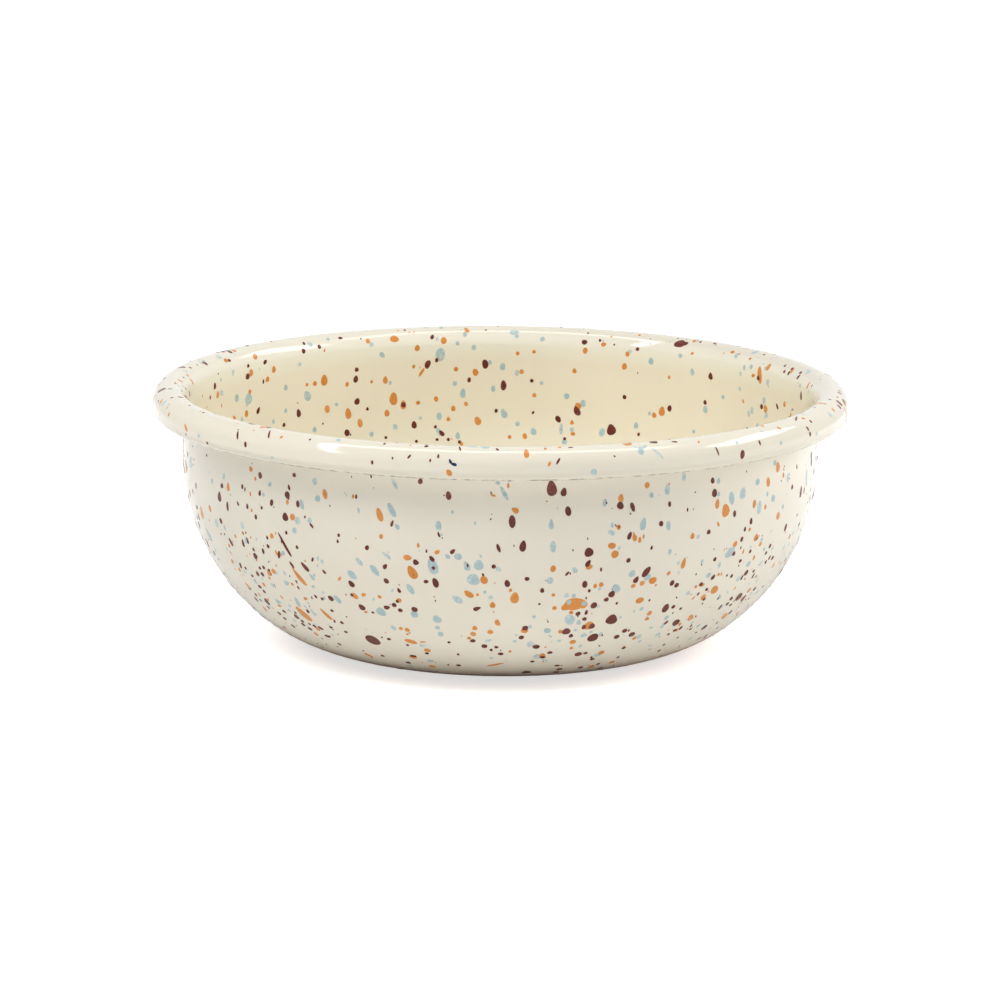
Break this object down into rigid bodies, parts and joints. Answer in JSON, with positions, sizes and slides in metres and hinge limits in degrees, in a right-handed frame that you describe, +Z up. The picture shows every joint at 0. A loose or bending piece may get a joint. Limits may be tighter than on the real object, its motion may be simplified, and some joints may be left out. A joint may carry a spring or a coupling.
{
  "type": "enamelled bowl",
  "caption": "Round bowl of pressed steel with a rolled rim, coated in glossy cream enamel and flicked all over with brown, ochre and pale blue enamel drops.",
  "frame": {"origin": "on the bowl's axis, in the plane of the foot that it stands on", "axes": "+Z up along the bowl's axis through the mouth, X and Y free because the bowl is turned"},
  "size_m": [0.1601, 0.16, 0.06],
  "materials": {
    "steel": "satin",
    "ground_enamel": "gloss",
    "cream_enamel": "gloss",
    "blue_enamel": "gloss",
    "ochre_enamel": "gloss",
    "brown_enamel": "gloss"
  },
  "bodies": {
    "root": {"steel_bowl": "steel", "ground_coat_inside": "ground_enamel", "ground_coat_outside": "ground_enamel", "cover_coat_inside": "cream_enamel", "cover_coat_outside": "cream_enamel", "blue_drops_inside": "blue_enamel", "blue_drops_outside": "blue_enamel", "ochre_drops_inside": "ochre_enamel", "ochre_drops_outside": "ochre_enamel", "brown_drops_inside": "brown_enamel", "brown_drops_outside": "brown_enamel"}
  },
  "joints": []
}
